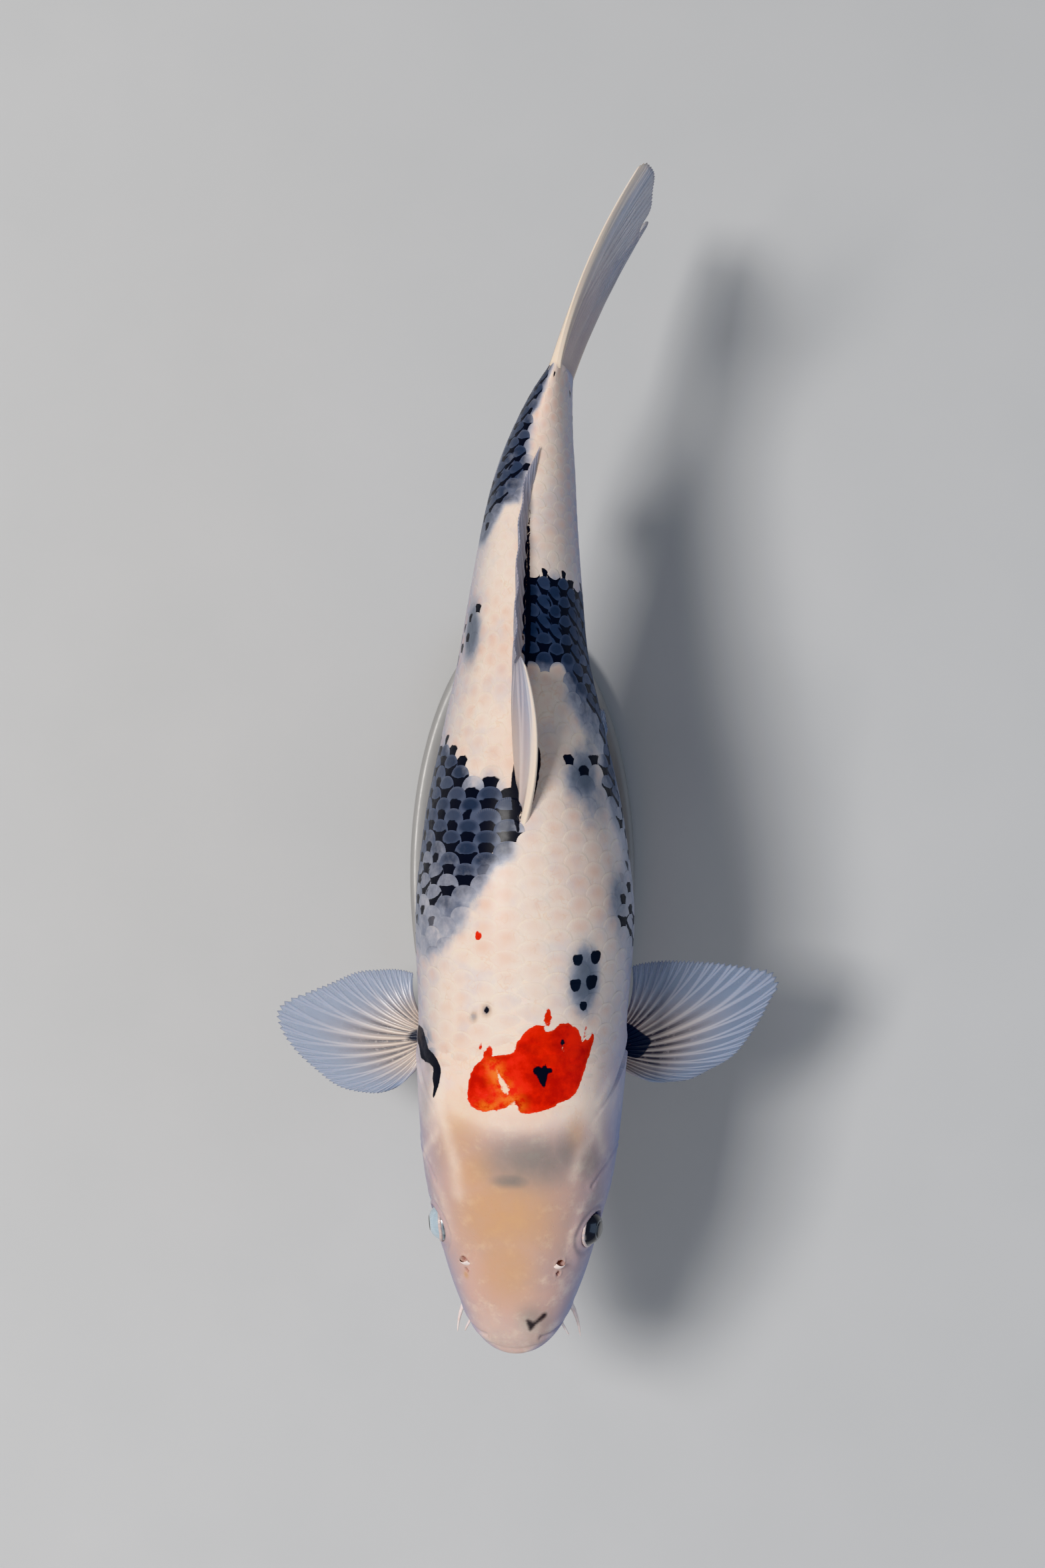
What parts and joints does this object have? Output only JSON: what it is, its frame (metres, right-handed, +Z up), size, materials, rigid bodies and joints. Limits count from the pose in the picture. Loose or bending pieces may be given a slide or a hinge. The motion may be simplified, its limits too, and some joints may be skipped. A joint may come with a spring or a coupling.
{
  "type": "koi carp figure on display stand",
  "caption": "Life-size still model of a swimming koi carp with spread breast fins and a slightly swung tail, held on a plain low stand by short rods.",
  "frame": {"origin": "centre of the bounding box's underside, on the floor the stand rests on", "axes": "-Y the way the fish faces, +X towards the fish's left side, +Z up"},
  "size_m": [0.25, 0.5632, 0.2439],
  "materials": {
    "skin": "wet-looking painted skin with scales, ivory with scarlet and black patches",
    "gill_cover": "wet-looking painted skin, scaleless, pale grey-lavender",
    "lips_and_barbels": "smooth pinkish grey skin",
    "fin": "cloudy, slightly see-through membrane over pinkish rays",
    "eye": "polished, dark pupil in a pale iris",
    "stand_paint": "satin pale grey paint on board",
    "stand_metal": "fine brushed"
  },
  "bodies": {
    "root": {"anal_fin": "fin", "barbel_corner_left": "lips_and_barbels", "barbel_corner_right": "lips_and_barbels", "barbel_upper_left": "lips_and_barbels", "barbel_upper_right": "lips_and_barbels", "dorsal_fin": "fin", "eye_left": "eye", "eye_right": "eye", "gill_cover_left": "gill_cover", "gill_cover_right": "gill_cover", "head": "skin", "lower_lip": "lips_and_barbels", "pectoral_fin_left": "fin", "pectoral_fin_right": "fin", "pelvic_fin_left": "fin", "pelvic_fin_right": "fin", "stand_base": "stand_paint", "stand_post_front": "stand_metal", "stand_post_rear": "stand_metal", "tail_fin_lower": "fin", "tail_fin_upper": "fin", "tail_stem": "skin", "trunk_front": "skin", "trunk_middle": "skin", "trunk_rear": "skin", "upper_lip": "lips_and_barbels"}
  },
  "joints": []
}
